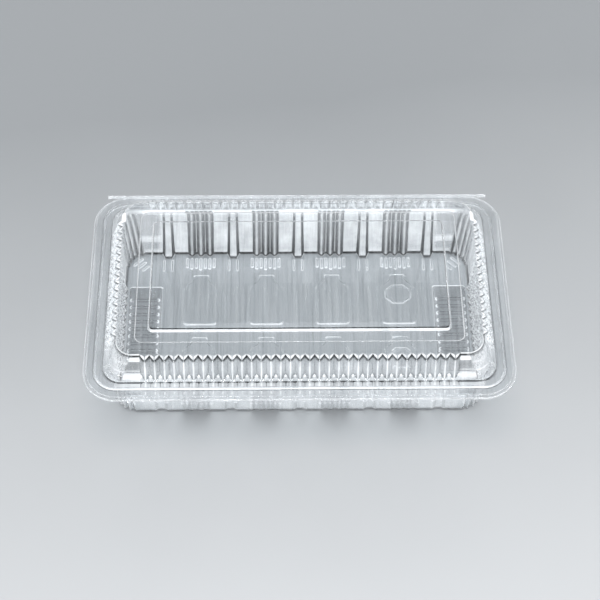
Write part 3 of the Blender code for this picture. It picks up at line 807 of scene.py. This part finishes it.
    # Painted glints: random whitish flecks of the milky share, standing in for glints of light off the side walls'
    # fine ribs.
    painted_glints = node(tree, "ShaderNodeAttribute", (-100, 1200), attribute_name="painted_glints")
    flecks = node(tree, "ShaderNodeTexNoise", (-100, 1450))
    flecks.inputs["Scale"].default_value = 1000.0
    flecks.inputs["Detail"].default_value = 3.0
    link(place.outputs["Object"], flecks.inputs["Vector"])
    flecked = node(tree, "ShaderNodeMapRange", (100, 1450))
    flecked.inputs["From Min"].default_value = 0.42
    flecked.inputs["From Max"].default_value = 0.62
    flecked.inputs["To Min"].default_value = 0.1
    flecked.inputs["To Max"].default_value = 0.9
    link(flecks.outputs["Fac"], flecked.inputs["Value"])
    sparkle = node(tree, "ShaderNodeMath", (300, 1200), operation="MULTIPLY")
    link(painted_glints.outputs["Fac"], sparkle.inputs[0])
    link(flecked.outputs["Result"], sparkle.inputs[1])
    most = node(tree, "ShaderNodeMath", (800, 700), operation="MAXIMUM")
    link(total.outputs[0], most.inputs[0])
    link(sparkle.outputs[0], most.inputs[1])
    seen = node(tree, "ShaderNodeMath", (800, 500), operation="SUBTRACT", use_clamp=True)
    link(most.outputs[0], seen.inputs[0])
    link(path.outputs["Is Shadow Ray"], seen.inputs[1])
    both = node(tree, "ShaderNodeMixShader", (1100, 0))
    link(seen.outputs[0], both.inputs["Fac"])
    link(sheet.outputs[0], both.inputs[1])
    link(milk.outputs[0], both.inputs[2])
    link(both.outputs[0], out.inputs["Surface"])
    return material


def ground_material():
    material = bpy.data.materials.new("pale_ground")
    material.use_nodes = True
    tree = material.node_tree
    shader = tree.nodes["Principled BSDF"]
    shader.inputs["Roughness"].default_value = 0.75
    shader.inputs["Specular IOR Level"].default_value = 0.2
    place = node(tree, "ShaderNodeTexCoord", (-900, 0))
    speckle = node(tree, "ShaderNodeTexNoise", (-700, 0))
    speckle.inputs["Scale"].default_value = 9.0
    speckle.inputs["Detail"].default_value = 4.0
    # Painted light falloff: the ground is painted lighter towards the front and darker towards the back and the left,
    # with a random mottle on top; Color2 is a darker, shaded copy of Color1.
    tone = node(tree, "ShaderNodeMixRGB", (-400, 0))
    tone.inputs["Color1"].default_value = (0.5, 0.511, 0.523, 1)
    tone.inputs["Color2"].default_value = (0.262, 0.274, 0.285, 1)
    spot = node(tree, "ShaderNodeSeparateXYZ", (-900, 300))
    painted_darkening = node(tree, "ShaderNodeMapRange", (-700, 300))
    painted_darkening.inputs["From Min"].default_value = -0.14
    painted_darkening.inputs["From Max"].default_value = 0.17
    aside = node(tree, "ShaderNodeMath", (-700, 150), operation="MULTIPLY_ADD")
    aside.inputs[1].default_value = -0.5
    mottle_and_falloff = node(tree, "ShaderNodeMath", (-500, 150), operation="MULTIPLY_ADD")
    mottle_and_falloff.inputs[1].default_value = 0.12
    tree.links.new(place.outputs["Object"], spot.inputs[0])
    tree.links.new(spot.outputs["Y"], painted_darkening.inputs["Value"])
    tree.links.new(spot.outputs["X"], aside.inputs[0])
    tree.links.new(painted_darkening.outputs["Result"], aside.inputs[2])
    tree.links.new(place.outputs["Object"], speckle.inputs["Vector"])
    tree.links.new(speckle.outputs["Fac"], mottle_and_falloff.inputs[0])
    tree.links.new(aside.outputs[0], mottle_and_falloff.inputs[2])
    tree.links.new(mottle_and_falloff.outputs[0], tone.inputs["Fac"])
    tree.links.new(tone.outputs["Color"], shader.inputs["Base Color"])
    return material


# ---------------------------------------------------------------- the pack
lid = build_lid()
tray = build_tray()
fold = build_fold()

for thing, slot, stretch in ((lid, "clear_lid", (800.0, 22.0, 60.0)), (tray, "clear_tray", (900.0, 24.0, 60.0)),
                             (fold, "clear_tray", (260.0, 40.0, 40.0))):
    thing.data.materials.append(clear_plastic(thing.name + "_sheet", stretch))
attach(lid, "lid")
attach(tray, "tray")
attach(fold, "tray")
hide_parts("lid")
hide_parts("tray")

# ---------------------------------------------------------------- ground, light, camera
ground_mesh = bpy.data.meshes.new("ground")
reach = 4.0
ground_mesh.from_pydata([(-reach, -reach, 0), (reach, -reach, 0), (reach, reach, 0), (-reach, reach, 0)], [],
                        [(0, 1, 2, 3)])
ground = bpy.data.objects.new("ground", ground_mesh)
ground.location.z = -0.0002
ground.data.materials.append(ground_material())
bpy.context.scene.collection.objects.link(ground)


def softbox(name, spot, aim, size, power, tint=(1.0, 1.0, 1.0)):
    data = bpy.data.lights.new(name, "AREA")
    data.shape = "RECTANGLE"
    data.size, data.size_y = size
    data.energy = power
    data.color = tint
    lamp = bpy.data.objects.new(name, data)
    lamp.location = spot
    lamp.rotation_euler = (Vector(aim) - Vector(spot)).to_track_quat("-Z", "Y").to_euler()
    bpy.context.scene.collection.objects.link(lamp)
    return lamp


softbox("front", (0.0, -0.85, 0.18), (0, 0, 0.03), (1.5, 0.32), 11.0)
for name, x in (("left", -0.8), ("right", 0.8)):
    softbox(name, (x, 0.0, 0.3), (0, 0, 0.03), (0.8, 0.4), 3.4).visible_glossy = False
softbox("back", (0.0, 0.95, 0.42), (0, 0, 0.03), (1.4, 0.3), 5.8).visible_glossy = False
above = softbox("above", (-0.03, 0.12, 0.9), (0, -0.02, 0.0), (0.42, 0.3), 5.0)
above.visible_glossy = False
above.visible_transmission = False

world = bpy.data.worlds.new("studio")
world.use_nodes = True
world.node_tree.nodes["Background"].inputs["Color"].default_value = (0.84, 0.88, 0.92, 1)
world.node_tree.nodes["Background"].inputs["Strength"].default_value = 0.34
bpy.context.scene.world = world

scene = bpy.context.scene
scene.view_settings.view_transform = "Standard"
scene.cycles.transparent_max_bounces = 48
scene.cycles.max_bounces = 24
scene.cycles.transmission_bounces = 24
scene.cycles.glossy_bounces = 8

camera_data = bpy.data.cameras.new("camera")
camera_data.sensor_fit = "HORIZONTAL"
camera_data.sensor_width = 36.0
camera_data.lens = 93.6
camera_data.clip_start = 0.01
camera = bpy.data.objects.new("camera", camera_data)
elevation, azimuth, roll, distance = math.radians(54.995), math.radians(1.444), math.radians(0.874), 740.51
forward = Vector((math.sin(azimuth) * math.cos(elevation), math.cos(azimuth) * math.cos(elevation),
                  -math.sin(elevation)))
right = Vector((math.cos(azimuth), -math.sin(azimuth), 0.0))
up = right.cross(forward)
rolled_right = math.cos(roll) * right + math.sin(roll) * up
rolled_up = -math.sin(roll) * right + math.cos(roll) * up
target = Vector((0.56, -4.35, 31.0))
camera.matrix_world = Matrix.Translation((target - forward * distance) * MM) @ Matrix(
    (rolled_right, rolled_up, -forward)).transposed().to_4x4()
bpy.context.scene.collection.objects.link(camera)
bpy.context.scene.camera = camera
